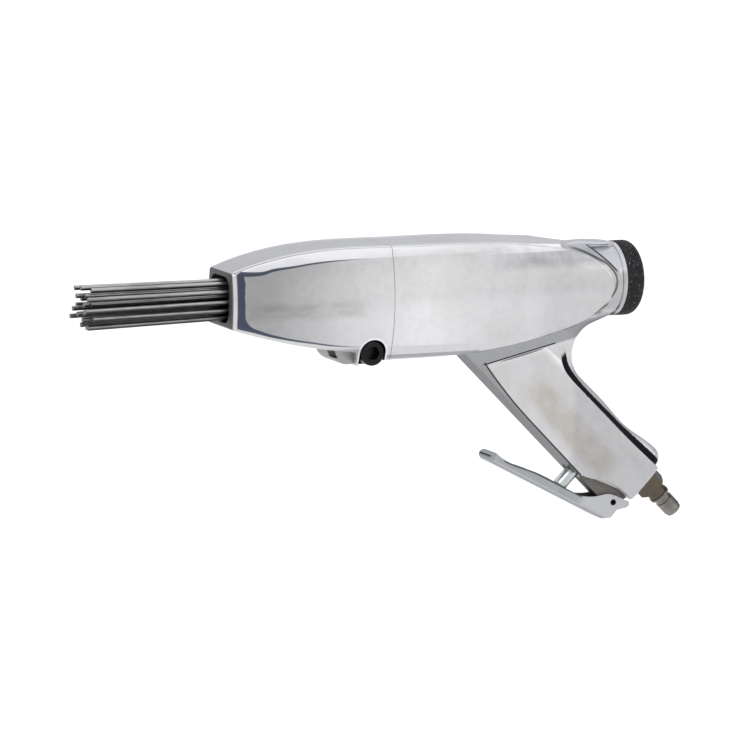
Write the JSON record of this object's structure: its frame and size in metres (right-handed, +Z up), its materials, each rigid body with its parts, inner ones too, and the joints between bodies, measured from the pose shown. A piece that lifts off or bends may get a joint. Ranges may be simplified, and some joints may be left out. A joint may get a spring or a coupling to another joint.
{
  "type": "pneumatic needle scaler",
  "caption": "Pistol-grip air hammer with a bundle of loose steel needles in its nose, an aluminium body in two clamped halves and a lever throttle.",
  "frame": {"origin": "centre of the nose mouth's front face, on the barrel axis", "axes": "+X back along the barrel towards the cap, +Z up away from the grip, +Y across, away from the side with the bolt head"},
  "size_m": [0.4182, 0.06, 0.1884],
  "materials": {
    "cast_aluminium": "polished sand casting, worn smooth, with faint stains",
    "lever_aluminium": "tumbled die casting, satin",
    "needle_steel": "dull drawn steel, lightly oiled",
    "black_steel": "black oxide",
    "cap_rubber": "rough moulded rubber",
    "seal_rubber": "smooth nitrile",
    "zinc_steel": "zinc plated, faintly blue",
    "tool_steel": "ground and hardened",
    "spring_steel": "oil tempered wire",
    "bronze": "machined bronze",
    "plug_nickel": "tarnished nickel plate",
    "copper": "soft annealed copper"
  },
  "bodies": {
    "body": {"front_case": "cast_aluminium", "main_body": "cast_aluminium", "clamp_bolt": "black_steel", "holder_spring": "spring_steel", "anvil_bush": "bronze", "cylinder": "tool_steel", "cylinder_orings": "seal_rubber", "valve_plate": "tool_steel", "valve_cover": "tool_steel", "valve_dowel": "tool_steel", "cushion_ring": "seal_rubber", "end_cap": "tool_steel", "cap_oring": "seal_rubber", "cap_cover": "cap_rubber", "lever_pin": "black_steel", "plunger_guide": "bronze", "plunger_oring": "seal_rubber", "valve_seat": "bronze", "throttle_spring": "spring_steel", "inlet_washer": "copper", "inlet_plug": "plug_nickel", "inlet_filter": "bronze"},
    "lever": {"throttle_lever": "lever_aluminium"},
    "plunger": {"throttle_plunger": "zinc_steel"},
    "poppet": {"throttle_valve": "bronze", "valve_face": "seal_rubber"},
    "needle_pack": {"needle_holder": "tool_steel", "needles": "needle_steel"},
    "anvil": {"anvil": "tool_steel"},
    "piston": {"piston": "tool_steel"},
    "flutter_disc": {"valve_disc": "tool_steel"}
  },
  "joints": [
    {"name": "lever_hinge", "type": "hinge", "parent": "body", "child": "lever", "pos_m": [0.27215, 0, -0.14457], "axis": [0, 1, 0], "range_deg": [0, 13], "stiffness_Nm_per_rad": 1.2, "springref_deg": -11.46},
    {"name": "plunger_slide", "type": "slide", "parent": "body", "child": "plunger", "axis": [0.7071, 0, 0.7071], "range_m": [0, 0.0079]},
    {"name": "poppet_slide", "type": "slide", "parent": "body", "child": "poppet", "axis": [0.7071, 0, 0.7071], "range_m": [0, 0.0079], "deforming": ["throttle_spring"]},
    {"name": "needle_pack_slide", "type": "slide", "parent": "body", "child": "needle_pack", "axis": [-1, 0, 0], "range_m": [0, 0.012], "stiffness_N_per_m": 1650, "springref_m": -0.02, "deforming": ["holder_spring"]},
    {"name": "anvil_slide", "type": "slide", "parent": "body", "child": "anvil", "axis": [-1, 0, 0], "range_m": [0, 0.006]},
    {"name": "piston_slide", "type": "slide", "parent": "body", "child": "piston", "axis": [1, 0, 0], "range_m": [0, 0.054]},
    {"name": "disc_flutter", "type": "slide", "parent": "body", "child": "flutter_disc", "axis": [1, 0, 0], "range_m": [0, 0.0008]}
  ],
  "couplings": [
    {"joint": "plunger_slide", "follows": "lever_hinge", "m_per_rad": 0.0348},
    {"joint": "poppet_slide", "follows": "lever_hinge", "m_per_rad": 0.0348},
    {"joint": "anvil_slide", "follows": "needle_pack_slide", "ratio": 0.5}
  ]
}
